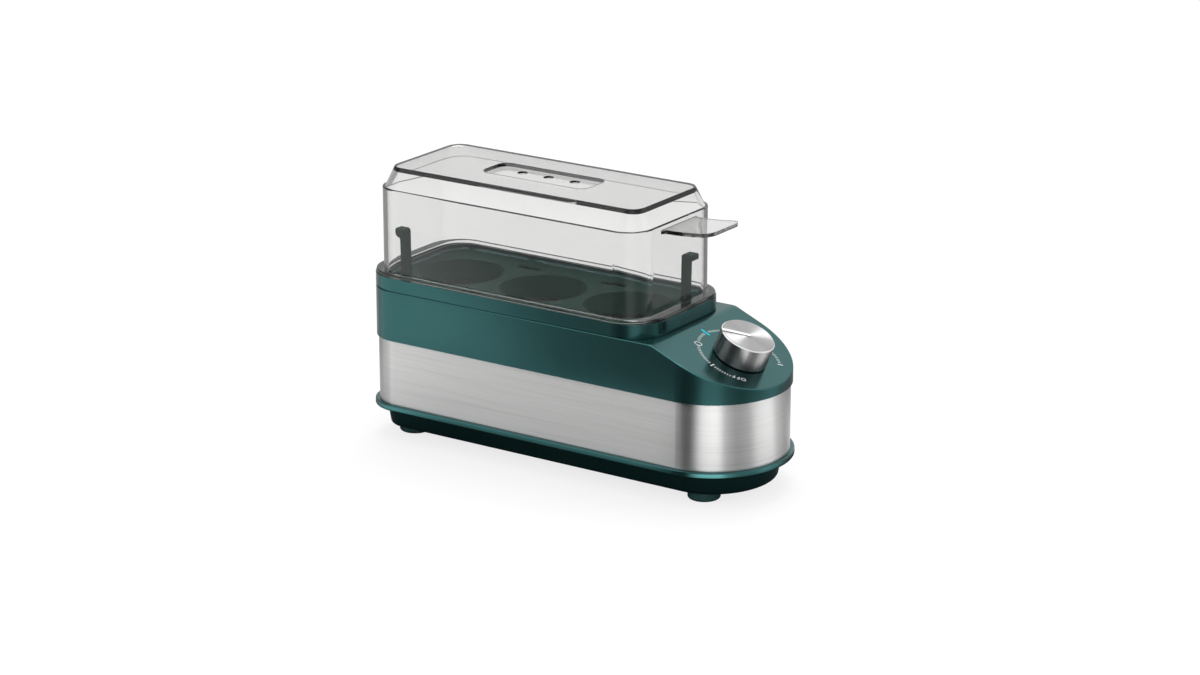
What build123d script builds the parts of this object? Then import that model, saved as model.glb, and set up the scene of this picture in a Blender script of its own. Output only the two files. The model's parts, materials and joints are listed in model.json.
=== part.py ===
from build123d import *
import os
from math import cos, radians, sin

# Electric egg cooker for three eggs: a clear lid over an egg tray, a heated water pan and a timer knob.
# Millimetres, +Z up. The origin lies on the surface that the feet stand on, under the middle of the base.
# +X runs towards the timer knob, and -Y is the front.

# Clearances and cuts
overrun = 3.0  # how far a cutting shape runs past what it cuts
lift_play = 0.5  # side play between pieces that lift apart
seat_play = 0.2  # side play between pieces that are fixed together
running_play = 0.05  # radial play of the timer shaft in its bore
screw_play = 0.05  # radial play of a screw in its thread
hole_play = 0.3  # radial play of a screw or a stud in a plain hole

# Body outline in plan: a square tail with rounded corners and an elliptic nose
body_width = 70.0
tail_radius = 17.0
nose_reach = 32.0

# Feet
foot_height = 4.2
foot_radius = 7.5
foot_edge = 1.2
foot_stem_radius = 2.5
foot_tail_setback = 16.0  # from the tail of the body to the rear feet
foot_nose_setback = 26.3  # from the nose of the body to the front feet
rear_foot_setback = 17.5  # from the side of the body to the rear feet
front_foot_setback = 15.4  # and to the front feet

# Base shell
base_height = 13.0
base_wall = 2.0
base_floor = 2.2
base_step = 3.6  # how far the shell steps in under its bead
base_taper = 1.6  # how much further it draws in towards the underside
base_edge = 2.0
bead_height = 2.85
bead_reach = 2.1
bead_edge = 0.6
rib_height = 3.0
rib_thickness = 2.0

# Steel band
steel_height = 31.2
steel_thickness = 0.8

# Upper housing
housing_height = 24.0
housing_proud = 0.9  # how far the housing stands out past the steel band
housing_wall = 2.4
shoulder_thickness = 3.0
tongue_width = 12.0
tongue_length = 6.0  # below the shoulder, inside the frame
tongue_thickness = 1.6
tongue_pitch = 50.0
deck_thickness = 4.5
ledge_length = 2.4  # flat deck between the tray and the control panel
panel_tilt = 23.0
rim_edge = 0.6
crease_radius = 7.0

# Inner frame with its screw posts, and the screws from below
skirt_wall = 2.0
post_radius = 4.5
post_height = 20.0
post_side_setback = 14.0
post_tail_setback = 40.0
post_nose_setback = 54.0
web_thickness = 2.4
base_screw_radius = 1.6
base_screw_length = 18.0
base_screw_head_radius = 3.0
base_screw_head_height = 2.2
screw_recess_depth = 6.0

# Egg tray
egg_count = 3
tray_height = 6.4
tray_plate_lift = 1.6  # underside of the plate above the deck
tray_plate = 2.0
collar_ledge = 1.2  # inner step of the collar, which carries the plate
shadow_gap = 0.6
seat_radius = 20.5
seat_floor_radius = 14.0
seat_gap = 5.7  # plate between two seats
seat_end_gap = 1.35  # from half a pitch past the last seat to the inside of the lid
seat_depth = 9.0
seat_wall = 1.8
steam_slot_length = 13.0
steam_slot_width = 3.2
steam_slot_inset = 11.0  # from the side of the lid's wall

# Lifting hooks of the tray
hook_height = 22.6  # above the tray plate
hook_thickness = 2.4
hook_width = 5.0
hook_reach = 3.6
hook_tip = 2.6
hook_underside = 1.8  # rise of the sloping underside
hook_lean = 0.4  # how far the foot stands further in than the crown
hook_crown = 1.5  # rounding of the crown over the post
hook_round = 0.8  # rounding of the tip, above and below
hook_inset = 4.3  # from the end of the lid's wall to the hook's tip
hook_side_inset = 14.2  # from the side of the lid's wall to the middle of the hook

# Lid
lid_end_margin = 5.6  # from the end of the tray to the lid's wall
lid_side_margin = 2.4
lid_corner = 13.0
lid_wall = 2.0
lid_top_wall = 2.8
lid_wall_height = 41.5
lid_ledge = 1.2  # flat step at the shoulder, round the foot of the slope
lid_ledge_drop = 0.8  # from the shoulder to the foot of the slope inside
lid_edge = 0.5
lid_slope_height = 9.0
lid_end_inset = 5.0
lid_side_inset = 7.2
lid_top_corner = 6.5
lid_lip = 2.3
flange_thickness = 1.8
flange_setback = 0.4

# Vent pocket in the lid's top
vent_length = 58.0
vent_width = 20.0
vent_corner = 5.0
vent_depth = 1.8
vent_hole_radius = 2.4
vent_hole_pitch = 14.5
vent_hole_offset = 4.0

# Lifting tab at the knob end of the lid
tab_reach = 25.1
tab_rise = 2.0
tab_root_width = 25.6
tab_tip_width = 26.4
tab_root_flare = 1.7  # spread of the root where it meets the lid's wall
tab_thickness = 1.8
tab_corner = 5.0
tab_drop = 1.9  # from the lid's shoulder to the top of the tab's root

# Water pan
pan_end_margin = 9.5  # from the end of the tray to the bowl
pan_side_margin = 9.0  # from the side of the body to the bowl
pan_end_flat = 6.0  # straight part of the bowl's ends
pan_depth = 12.0
pan_metal = 1.0
pan_flange = 3.6
pan_fillet = 4.0
stud_radius = 2.0
stud_tip = 0.8  # thread that shows past a nut
seal_thickness = 1.0

# Heating element and its straps
element_radius = 3.2
element_spread = 26.0
element_bend = 11.0
element_end_bend = 7.0
element_bend_margin = 15.0  # from the end of the bowl to the bent end
element_cold_margin = 13.0  # from the other end of the bowl to the cold ends
element_tail = 14.0  # cold end that hangs down
insulator_radius = 4.4
insulator_length = 5.0
element_pin_radius = 1.2
element_pin_length = 6.0  # below the insulator
strap_margin = 27.0  # from the end of the bowl
strap_width = 10.0
strap_metal = 1.2
strap_foot = 4.4
nut_flats = 7.0
nut_height = 3.2

# Thermostat and thermal fuse
thermostat_radius = 8.0
thermostat_height = 7.0
thermostat_edge = 0.8
ear_pitch = 24.0
ear_radius = 3.4
ear_height = 1.2
small_stud_radius = 1.5
small_nut_flats = 5.5
small_nut_height = 2.4
thermostat_tab_spread = 8.0
fuse_gap = 5.2  # along X from the clip's stud to the side of the fuse
fuse_radius = 2.0
fuse_length = 10.0
clip_metal = 0.8
clip_width = 5.6

# Timer
timer_radius = 18.0
timer_crease_margin = 8.9  # down the panel from the crease to the side of the clockwork
timer_nose_margin = 4.42  # and from its other side to the nose
timer_depth = 20.0
timer_edge = 1.5
timer_plate_length = 44.0
timer_plate_width = 24.0
timer_plate_metal = 1.0
timer_plate_corner = 4.0
timer_screw_pitch = 18.0
timer_screw_radius = 1.5
timer_screw_head_radius = 2.8
timer_screw_length = 5.0
countersink_angle = 90.0
shaft_radius = 3.0
shaft_flat_share = 0.6  # distance of the flat from the axis, as a share of the shaft's radius
shaft_depth = 13.0  # below the timer's front plate
shaft_reach = 8.6  # above the panel
shaft_hole_play = 1.0
shaft_end_play = 0.3
blade_width = 6.3
blade_metal = 0.8
blade_length = 8.0
timer_tab_spread = 14.0

# Knob
knob_radius = 12.56
knob_height = 11.0
knob_gap = 0.6
cap_metal = 0.8
cap_chamfer = 0.7
core_hub_radius = 5.5
core_lift = 0.4  # foot of the core above the foot of the cap
core_rim = 2.0
core_web = 2.4
pointer_width = 1.9
pointer_proud = 0.3
pointer_tail = 1.0  # how far the pointer runs past the axis
pointer_skirt_gap = 0.8  # from the pointer's foot to the foot of the cap
pointer_angle = -136.0

# Supply entry
gland_tail_setback = 28.0
gland_height = 14.0  # above the foot of the steel band
gland_radius = 4.8
gland_bore_radius = 3.4
gland_flange_radius = 6.5
gland_flange = 1.8
gland_edge = 0.6
gland_length = 9.0
gland_nut_flats = 15.0
gland_nut_height = 2.6
block_tail_setback = 62.0
block_offset = 8.0
block_length = 22.0
block_width = 20.0
block_height = 12.0
block_boss_radius = 4.5
block_boss_height = 6.0
block_screw_radius = 1.5
block_screw_head_radius = 2.8
block_screw_head_height = 2.0
block_screw_depth = 5.0
block_pole_pitch = 10.0
block_bore_radius = 1.6
block_bore_lift = 5.0

# Leads
lead_radius = 1.2
lead_bend = 6.0
lead_drop = 11.0  # straight run out of a terminal
lead_entry = 3.0  # how far a lead goes into the terminal block
fuse_lead_bend = 1.6
fuse_lead_reach = 2.6
crossing_lift = 3.0  # height of a lead above the terminal block that it crosses
pin_drop = 8.0  # dip of the heater's lead below its pin

# Levels
base_z = foot_height
steel_z = base_z + base_height
housing_z = steel_z + steel_height
deck_z = housing_z + housing_height
plate_z = deck_z + tray_plate_lift + tray_plate
collar_z = deck_z + tray_height
lid_shoulder_z = collar_z + lid_wall_height
lid_top_z = lid_shoulder_z + lid_slope_height
deck_underside_z = deck_z - deck_thickness
pan_floor_z = deck_z - pan_depth
pan_underside_z = pan_floor_z - pan_metal
floor_z = base_z + base_floor

# Stack under the pan: heater, strap, nut
element_z = pan_underside_z - seat_play - element_radius
strap_z = element_z - element_radius - seat_play
pan_nut_z = strap_z - strap_metal
element_end_z = element_z - element_tail
pin_end_z = element_end_z - insulator_length - element_pin_length
small_stud_length = ear_height + clip_metal + small_nut_height + stud_tip

# Margins on the body outline
skirt_grow = -(steel_thickness + seat_play)
skirt_inner_grow = skirt_grow - skirt_wall
housing_inner_grow = housing_proud - housing_wall

# Lengths that follow from the eggs, and widths that follow from the body
egg_pitch = 2 * seat_radius + seat_gap
lid_length = egg_count * egg_pitch + 2 * (seat_end_gap + lid_wall)
tray_length = lid_length + 2 * lid_end_margin
pan_length = tray_length - 2 * pan_end_margin
tray_width = body_width + 2 * housing_proud
lid_width = tray_width - 2 * lid_side_margin
pan_width = body_width - 2 * pan_side_margin
tray_corner = tail_radius + housing_proud
pan_corner = (pan_width - pan_end_flat) / 2
post_spread = body_width - 2 * post_side_setback

# The panel is as long as the clockwork below it needs, and with the tray it gives the body's length
tilt = radians(panel_tilt)
knob_distance = timer_crease_margin + timer_radius
panel_length = knob_distance + timer_radius + timer_nose_margin
body_length = tray_length - housing_proud + ledge_length + panel_length * cos(tilt)

# Places along the body
tail_x = -body_length / 2
nose_x = body_length / 2
tray_x = tail_x - housing_proud + tray_length / 2
crease_x = tray_x + tray_length / 2 + ledge_length
rear_post_x = tail_x + post_tail_setback
front_post_x = nose_x - post_nose_setback
post_places = [(x, side * post_spread / 2) for x in (rear_post_x, front_post_x) for side in (-1, 1)]
foot_places = [
    (x, side * (body_width / 2 - setback))
    for x, setback in (
        (tail_x + foot_tail_setback, rear_foot_setback),
        (nose_x - foot_nose_setback, front_foot_setback),
    )
    for side in (-1, 1)
]
seat_places = [(tray_x + (step - (egg_count - 1) / 2) * egg_pitch, 0) for step in range(egg_count)]
strap_places = [tray_x + side * (pan_length / 2 - strap_margin) for side in (-1, 1)]
ear_places = [tray_x + side * ear_pitch / 2 for side in (-1, 1)]
element_start_x = tray_x - pan_length / 2 + element_bend_margin
element_end_x = tray_x + pan_length / 2 - element_cold_margin
fuse_x = ear_places[1] + fuse_gap + fuse_radius
fuse_z = pan_underside_z - seat_play - fuse_radius
block_x = tail_x + block_tail_setback
gland_x = tail_x + gland_tail_setback
gland_z = steel_z + gland_height

# Planes of the sloping control panel: at its crease, on the knob's axis, and turned to the pointer
down_panel = Vector(cos(tilt), 0, -sin(tilt))
off_panel = Vector(sin(tilt), 0, cos(tilt))
panel_plane = Plane(Vector(crease_x, 0, deck_z), x_dir=down_panel, z_dir=off_panel)
knob_plane = Plane(panel_plane.origin + down_panel * knob_distance, x_dir=down_panel, z_dir=off_panel)
turn = radians(pointer_angle)
along_pointer = down_panel * cos(turn) + Vector(0, 1, 0) * sin(turn)
pointer_plane = Plane(knob_plane.origin, x_dir=along_pointer, z_dir=off_panel)


def body_face(grow=0):
    """Return the body's plan outline, grown by a margin all round."""
    half_width = body_width / 2 + grow
    tail_end = tail_x - grow
    nose_start = nose_x - nose_reach
    with BuildSketch() as outline:
        with BuildLine():
            nose = EllipticalCenterArc(
                (nose_start, 0), nose_reach + grow, half_width, start_angle=-90, arc_size=180
            )
            FilletPolyline(
                nose @ 1,
                (tail_end, half_width),
                (tail_end, -half_width),
                nose @ 0,
                radius=tail_radius + grow,
            )
        make_face()
    return outline.sketch


def tray_face(length, width, corner):
    """Return a rounded rectangle on the middle of the tray."""
    with BuildSketch() as outline:
        with Locations((tray_x, 0)):
            RectangleRounded(length, width, corner)
    return outline.sketch


def pan_face(grow=0):
    """Return the pan's plan outline, grown by a margin all round."""
    return tray_face(pan_length + 2 * grow, pan_width + 2 * grow, pan_corner + grow)


def lid_face(grow=0):
    """Return the plan outline of the lid's wall, grown by a margin all round."""
    return tray_face(lid_length + 2 * grow, lid_width + 2 * grow, lid_corner + grow)


def lid_top_face(grow=0):
    """Return the plan outline of the lid's top, grown by a margin all round."""
    length = lid_length - 2 * lid_end_inset
    width = lid_width - 2 * lid_side_inset
    return tray_face(length + 2 * grow, width + 2 * grow, lid_top_corner + grow)


# Feet: round pads with a stem that plugs into the base
with BuildPart() as feet:
    with Locations(*foot_places):
        Cylinder(foot_radius, foot_height, align=(Align.CENTER, Align.CENTER, Align.MIN))
    fillet(feet.edges().group_by(Axis.Z)[0], foot_edge)
    with Locations(*[(x, y, foot_height) for x, y in foot_places]):
        Cylinder(foot_stem_radius, base_floor, align=(Align.CENTER, Align.CENTER, Align.MIN))

# Base shell: a tapered bowl with a bead round its mouth, a locating rib, screw bosses and a block boss
boss_top_z = steel_z + rib_height
with BuildPart() as base_shell:
    with BuildSketch(Plane.XY.offset(base_z)):
        add(body_face(-base_step - base_taper))
    with BuildSketch(Plane.XY.offset(steel_z - bead_height)):
        add(body_face(-base_step))
    loft(ruled=True)
    fillet(base_shell.edges().group_by(Axis.Z)[0], base_edge)
    with BuildSketch(Plane.XY.offset(steel_z - bead_height)):
        add(body_face(bead_reach))
    bead = extrude(amount=bead_height)
    fillet(bead.edges().group_by(Axis.Z)[-1] + bead.edges().group_by(Axis.Z)[0], bead_edge)
    with BuildSketch(Plane.XY.offset(floor_z)):
        add(body_face(-base_step - base_taper - base_wall))
    with BuildSketch(Plane.XY.offset(steel_z)):
        add(body_face(-base_step - base_wall))
    loft(ruled=True, mode=Mode.SUBTRACT)
    with BuildSketch(Plane.XY.offset(steel_z)):
        add(body_face(skirt_inner_grow - seat_play))
        add(body_face(skirt_inner_grow - seat_play - rib_thickness), mode=Mode.SUBTRACT)
    extrude(amount=rib_height)
    with BuildSketch(Plane.XY.offset(floor_z)):
        with Locations(*post_places):
            Circle(post_radius)
    extrude(amount=boss_top_z - floor_z)
    with BuildSketch(Plane.XY.offset(floor_z)):
        with Locations((block_x, block_offset)):
            Circle(block_boss_radius)
    extrude(amount=block_boss_height)
    with Locations(*[(x, y, base_z) for x, y in post_places]):
        Cylinder(
            base_screw_head_radius + hole_play,
            screw_recess_depth,
            align=(Align.CENTER, Align.CENTER, Align.MIN),
            mode=Mode.SUBTRACT,
        )
        Cylinder(
            base_screw_radius + hole_play,
            boss_top_z - base_z,
            align=(Align.CENTER, Align.CENTER, Align.MIN),
            mode=Mode.SUBTRACT,
        )
    with Locations(*[(x, y, base_z) for x, y in foot_places]):
        Cylinder(
            foot_stem_radius + screw_play,
            base_floor,
            align=(Align.CENTER, Align.CENTER, Align.MIN),
            mode=Mode.SUBTRACT,
        )
    with Locations((block_x, block_offset, floor_z + block_boss_height)):
        Hole(block_screw_radius + screw_play, block_screw_depth + seat_play)

# Steel band: bent sheet that stands on the bead, with a hole for the gland
with BuildPart() as steel_band:
    with BuildSketch(Plane.XY.offset(steel_z)):
        add(body_face())
        add(body_face(-steel_thickness), mode=Mode.SUBTRACT)
    extrude(amount=steel_height)
    with BuildSketch(Plane.XZ.offset(-body_width / 2 - overrun)):
        with Locations((gland_x, gland_z)):
            Circle(gland_radius + seat_play)
    extrude(amount=body_width / 2, mode=Mode.SUBTRACT)

# Inner frame: skirt inside the steel band, with screw posts on webs and a hole for the gland
post_foot_z = boss_top_z + seat_play
with BuildPart() as inner_frame:
    with BuildSketch(Plane.XY.offset(steel_z)):
        add(body_face(skirt_grow))
        add(body_face(skirt_inner_grow), mode=Mode.SUBTRACT)
    extrude(amount=steel_height)
    with BuildSketch(Plane.XY.offset(post_foot_z)):
        with Locations(*post_places):
            Circle(post_radius)
        web_reach = body_width / 2 + skirt_inner_grow - post_spread / 2
        with Locations(*[(x, y + (web_reach / 2 if y > 0 else -web_reach / 2)) for x, y in post_places]):
            Rectangle(web_thickness, web_reach + skirt_wall)
    extrude(amount=post_height)
    with Locations(*[(x, y, post_foot_z) for x, y in post_places]):
        Cylinder(
            base_screw_radius + screw_play,
            base_screw_length,
            align=(Align.CENTER, Align.CENTER, Align.MIN),
            mode=Mode.SUBTRACT,
        )
    with BuildSketch(Plane.XZ.offset(-body_width / 2 - overrun)):
        with Locations((gland_x, gland_z)):
            Circle(gland_radius + seat_play)
    extrude(amount=body_width / 2, mode=Mode.SUBTRACT)

# Space inside the upper housing, below its deck and its control panel
with BuildPart() as housing_space:
    with BuildSketch(Plane.XY.offset(housing_z - overrun)):
        add(body_face(skirt_inner_grow))
    extrude(amount=shoulder_thickness + overrun)
    with BuildSketch(Plane.XY.offset(housing_z + shoulder_thickness)):
        add(body_face(housing_inner_grow))
    extrude(amount=deck_underside_z - housing_z - shoulder_thickness)
    split(bisect_by=panel_plane.offset(-housing_wall), keep=Keep.BOTTOM)

# Upper housing: deck with the pan's opening, sloping panel, and snap tongues inside the frame
with BuildPart() as upper_housing:
    with BuildSketch(Plane.XY.offset(housing_z)):
        add(body_face(housing_proud))
    extrude(amount=housing_height)
    split(bisect_by=panel_plane, keep=Keep.BOTTOM)
    crease = upper_housing.edges().filter_by(Axis.Y).group_by(Axis.Z)[-1].sort_by(Axis.X)[-1]
    fillet(crease, crease_radius)
    top_faces = upper_housing.faces().filter_by(lambda face: face.normal_at().Z > sin(tilt))
    fillet([edge for edge in top_faces.edges() if not edge.is_interior], rim_edge)
    add(housing_space.part, mode=Mode.SUBTRACT)
    with BuildSketch(Plane.XY.offset(deck_z)):
        add(pan_face(pan_flange + seat_play))
    extrude(amount=-(pan_metal + seal_thickness), mode=Mode.SUBTRACT)
    with BuildSketch(Plane.XY.offset(deck_z)):
        add(pan_face(2 * pan_metal))
    extrude(amount=-deck_thickness - overrun, mode=Mode.SUBTRACT)
    tongue_y = body_width / 2 + skirt_inner_grow - seat_play - tongue_thickness / 2
    tongue_places = [
        (tray_x + end * tongue_pitch / 2, side * tongue_y) for end in (-1, 1) for side in (-1, 1)
    ]
    with BuildSketch(Plane.XY.offset(housing_z - tongue_length)):
        with Locations(*tongue_places):
            Rectangle(tongue_width, tongue_thickness)
    extrude(amount=tongue_length + shoulder_thickness)
    root_y = tongue_y + tongue_thickness / 2
    with BuildSketch(Plane.XY.offset(housing_z)):
        with Locations(*[(x, root_y if y > 0 else -root_y) for x, y in tongue_places]):
            Rectangle(tongue_width, tongue_thickness)
    extrude(amount=shoulder_thickness)
    with BuildSketch(knob_plane):
        Circle(shaft_radius + shaft_hole_play)
    extrude(amount=-housing_wall - overrun, mode=Mode.SUBTRACT)
    with Locations(knob_plane):
        with Locations(*[(0, side * timer_screw_pitch / 2) for side in (-1, 1)]):
            CounterSinkHole(
                timer_screw_radius + hole_play,
                timer_screw_head_radius + hole_play,
                housing_wall + overrun,
                countersink_angle,
            )

# Tray collar: rim band flush with the housing, with a shadow gap below and a ledge inside for the plate
with BuildPart() as tray_collar:
    with BuildSketch(Plane.XY.offset(deck_z)):
        add(tray_face(tray_length - 2 * shadow_gap, tray_width - 2 * shadow_gap, tray_corner - shadow_gap))
    extrude(amount=tray_height)
    with BuildSketch(Plane.XY.offset(deck_z + shadow_gap)):
        add(tray_face(tray_length, tray_width, tray_corner))
    extrude(amount=tray_height - shadow_gap)
    with BuildSketch(Plane.XY.offset(deck_z)):
        add(lid_face(-collar_ledge))
    extrude(amount=tray_height, mode=Mode.SUBTRACT)
    with BuildSketch(Plane.XY.offset(deck_z + tray_plate_lift)):
        add(lid_face(lift_play))
    extrude(amount=tray_height, mode=Mode.SUBTRACT)

# Egg tray: plate with three open egg seats, steam slots and two lifting hooks
with BuildPart() as egg_tray:
    with BuildSketch(Plane.XY.offset(plate_z - tray_plate)):
        add(lid_face(lift_play - seat_play))
    extrude(amount=tray_plate)
    with Locations(*[(x, y, plate_z) for x, y in seat_places]):
        Cone(
            seat_floor_radius + seat_wall,
            seat_radius + seat_wall,
            seat_depth,
            align=(Align.CENTER, Align.CENTER, Align.MAX),
        )
    seat_flare = (seat_radius - seat_floor_radius) / seat_depth
    with Locations(*[(x, y, plate_z + overrun) for x, y in seat_places]):
        Cone(
            seat_floor_radius - seat_flare * overrun,
            seat_radius + seat_flare * overrun,
            seat_depth + 2 * overrun,
            align=(Align.CENTER, Align.CENTER, Align.MAX),
            mode=Mode.SUBTRACT,
        )
    slot_y = lid_width / 2 - steam_slot_inset
    slot_places = [(x + egg_pitch / 2, side * slot_y) for x, y in seat_places[:-1] for side in (-1, 1)]
    with BuildSketch(Plane.XY.offset(plate_z)):
        with Locations(*slot_places):
            SlotOverall(steam_slot_length, steam_slot_width)
    extrude(amount=-tray_plate - overrun, mode=Mode.SUBTRACT)
    hook_offset = lid_width / 2 - hook_side_inset
    for side in (-1, 1):
        tip_x = tray_x + side * (lid_length / 2 - hook_inset)
        post_outer_x = tip_x - side * hook_reach
        post_inner_x = post_outer_x - side * hook_thickness
        hook_top_z = plate_z + hook_height
        with BuildSketch(Plane.XZ.offset(-side * hook_offset)):
            with BuildLine():
                hook_line = FilletPolyline(
                    (post_inner_x - side * hook_lean, plate_z - tray_plate),
                    (post_inner_x, hook_top_z),
                    (tip_x, hook_top_z),
                    (tip_x, hook_top_z - hook_tip),
                    (post_outer_x, hook_top_z - hook_tip - hook_underside),
                    (post_outer_x - side * hook_lean, plate_z - tray_plate),
                    radius=(hook_crown, hook_round, hook_round, hook_round),
                )
                Line(hook_line @ 1, hook_line @ 0)
            make_face()
        extrude(amount=hook_width / 2, both=True)

# Lifting tab: a thin plate that leaves the lid's end wall level and curls up, wider at its tip
tab_root_x = tray_x + lid_length / 2
tab_top_z = lid_shoulder_z - tab_drop
with BuildPart() as lid_tab:
    with BuildSketch(Plane.XZ):
        with BuildLine():
            root_x = tab_root_x - lid_wall / 2
            tip_x = tab_root_x + tab_reach
            upper = TangentArc((root_x, tab_top_z), (tip_x, tab_top_z + tab_rise), tangent=(1, 0))
            lower = TangentArc(
                (root_x, tab_top_z - tab_thickness),
                (tip_x, tab_top_z + tab_rise - tab_thickness),
                tangent=(1, 0),
            )
            Line(upper @ 0, lower @ 0)
            Line(upper @ 1, lower @ 1)
        make_face()
    extrude(amount=tab_tip_width, both=True)
    with BuildSketch(Plane.XY) as tab_plan:
        with BuildLine():
            flared_y = tab_root_width / 2 + tab_root_flare
            neck_x = tab_root_x + tab_root_flare
            Polyline(
                (root_x, -flared_y),
                (tab_root_x, -flared_y),
                (neck_x, -tab_root_width / 2),
                (tip_x, -tab_tip_width / 2),
                (tip_x, tab_tip_width / 2),
                (neck_x, tab_root_width / 2),
                (tab_root_x, flared_y),
                (root_x, flared_y),
                close=True,
            )
        make_face()
        fillet(tab_plan.vertices().group_by(Axis.X)[-1], tab_corner)
        fillet(tab_plan.vertices().filter_by_position(Axis.X, neck_x, neck_x), tab_root_flare)
    extrude(amount=lid_top_z, mode=Mode.INTERSECT)

# Lid: thin clear shell with a stepped and sloped shoulder, a flange on the tray, a vent pocket and the tab
vent_floor_z = lid_top_z - vent_depth
with BuildPart() as lid:
    with BuildSketch(Plane.XY.offset(collar_z - lid_lip)):
        add(lid_face())
    extrude(amount=lid_lip + lid_wall_height)
    fillet(lid.edges().group_by(Axis.Z)[-1], lid_edge)
    with BuildSketch(Plane.XY.offset(lid_shoulder_z)):
        add(lid_face(-lid_ledge))
    with BuildSketch(Plane.XY.offset(lid_top_z)):
        add(lid_top_face())
    loft(ruled=True)
    fillet(lid.edges().group_by(Axis.Z)[-1], lid_edge)
    with BuildSketch(Plane.XY.offset(collar_z)):
        add(
            tray_face(
                tray_length - 2 * flange_setback,
                tray_width - 2 * flange_setback,
                tray_corner - flange_setback,
            )
        )
    flange = extrude(amount=flange_thickness)
    fillet(flange.edges().group_by(Axis.Z)[-1], lid_edge)
    with BuildSketch(Plane.XY.offset(collar_z - lid_lip)):
        add(lid_face(-lid_wall))
    extrude(amount=lid_lip + lid_wall_height - lid_ledge_drop, mode=Mode.SUBTRACT)
    with BuildSketch(Plane.XY.offset(lid_shoulder_z - lid_ledge_drop)):
        add(lid_face(-lid_wall))
    with BuildSketch(Plane.XY.offset(lid_top_z - lid_top_wall)):
        add(lid_top_face(-lid_wall / 2))
    loft(ruled=True, mode=Mode.SUBTRACT)
    with BuildSketch(Plane.XY.offset(lid_top_z)):
        add(tray_face(vent_length, vent_width, vent_corner))
    extrude(amount=-vent_depth, mode=Mode.SUBTRACT)
    with BuildSketch(Plane.XY.offset(vent_floor_z)):
        with Locations(*[(tray_x + step * vent_hole_pitch, vent_hole_offset) for step in (-1, 0, 1)]):
            Circle(vent_hole_radius)
    extrude(amount=-lid_top_wall, mode=Mode.SUBTRACT)
    add(lid_tab.part)

# Space inside the water pan
with BuildPart() as pan_space:
    with BuildSketch(Plane.XY.offset(pan_floor_z)):
        add(pan_face())
    extrude(amount=pan_depth + overrun)
    fillet(pan_space.edges().group_by(Axis.Z)[0], pan_fillet)

# Water pan: drawn bowl with a flat flange, and welded studs underneath
with BuildPart() as water_pan:
    with BuildSketch(Plane.XY.offset(pan_underside_z)):
        add(pan_face(pan_metal))
    extrude(amount=deck_z - pan_underside_z)
    fillet(water_pan.edges().group_by(Axis.Z)[0], pan_fillet + pan_metal)
    with BuildSketch(Plane.XY.offset(deck_z - pan_metal)):
        add(pan_face(pan_flange))
    extrude(amount=pan_metal)
    add(pan_space.part, mode=Mode.SUBTRACT)
    with Locations(*[(x, 0, pan_underside_z) for x in strap_places]):
        Cylinder(
            stud_radius,
            pan_underside_z - pan_nut_z + nut_height + stud_tip,
            align=(Align.CENTER, Align.CENTER, Align.MAX),
        )
    with Locations(*[(x, 0, pan_underside_z) for x in ear_places]):
        Cylinder(small_stud_radius, small_stud_length, align=(Align.CENTER, Align.CENTER, Align.MAX))

# Seal: flat ring under the pan's flange
with BuildPart() as pan_seal:
    with BuildSketch(Plane.XY.offset(deck_z - pan_metal - seal_thickness)):
        add(pan_face(pan_flange))
        add(pan_face(2 * pan_metal), mode=Mode.SUBTRACT)
    extrude(amount=seal_thickness)

# Heating element: bent tube under the pan, with a connection pin at each cold end
with BuildPart() as heating_element:
    half_spread = element_spread / 2
    with BuildLine() as element_path:
        FilletPolyline(
            (element_end_x, -half_spread, element_end_z),
            (element_end_x, -half_spread, element_z),
            (element_start_x, -half_spread, element_z),
            (element_start_x, half_spread, element_z),
            (element_end_x, half_spread, element_z),
            (element_end_x, half_spread, element_end_z),
            radius=(element_end_bend, element_bend, element_bend, element_end_bend),
        )
    with BuildSketch(Plane(element_path.line @ 0, z_dir=element_path.line % 0)):
        Circle(element_radius)
    sweep()
    with Locations(*[(element_end_x, side * half_spread, element_end_z) for side in (-1, 1)]):
        Cylinder(
            element_pin_radius,
            insulator_length + element_pin_length,
            align=(Align.CENTER, Align.CENTER, Align.MAX),
        )

# Insulators: ceramic beads on the heater's pins
with BuildPart() as element_insulators:
    with BuildSketch(Plane.XY.offset(element_end_z)):
        with Locations(*[(element_end_x, side * half_spread) for side in (-1, 1)]):
            Circle(insulator_radius)
            Circle(element_pin_radius + screw_play, mode=Mode.SUBTRACT)
    extrude(amount=-insulator_length)

# Straps: bent sheet that hangs from the deck's underside, passes under the heater and pulls the pan down
with BuildPart() as pan_straps:
    leg_y = pan_width / 2 + pan_metal + 2 * seat_play
    foot_y = leg_y + strap_foot
    for x in strap_places:
        with BuildSketch(Plane.YZ.offset(x)):
            with BuildLine() as strap_line:
                Polyline(
                    (-foot_y, deck_underside_z),
                    (-leg_y, deck_underside_z),
                    (-leg_y, strap_z),
                    (leg_y, strap_z),
                    (leg_y, deck_underside_z),
                    (foot_y, deck_underside_z),
                )
                offset(amount=strap_metal, side=Side.RIGHT, kind=Kind.INTERSECTION)
            make_face()
        extrude(amount=strap_width / 2, both=True)
    with BuildSketch(Plane.XY.offset(strap_z)):
        with Locations(*[(x, 0) for x in strap_places]):
            Circle(stud_radius + hole_play)
    extrude(amount=-strap_metal - overrun, mode=Mode.SUBTRACT)

# Nuts on the pan's studs
with BuildPart() as pan_nuts:
    with BuildSketch(Plane.XY.offset(pan_nut_z)):
        with Locations(*[(x, 0) for x in strap_places]):
            RegularPolygon(nut_flats / 2, 6, major_radius=False)
            Circle(stud_radius + screw_play, mode=Mode.SUBTRACT)
    extrude(amount=-nut_height)

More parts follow.
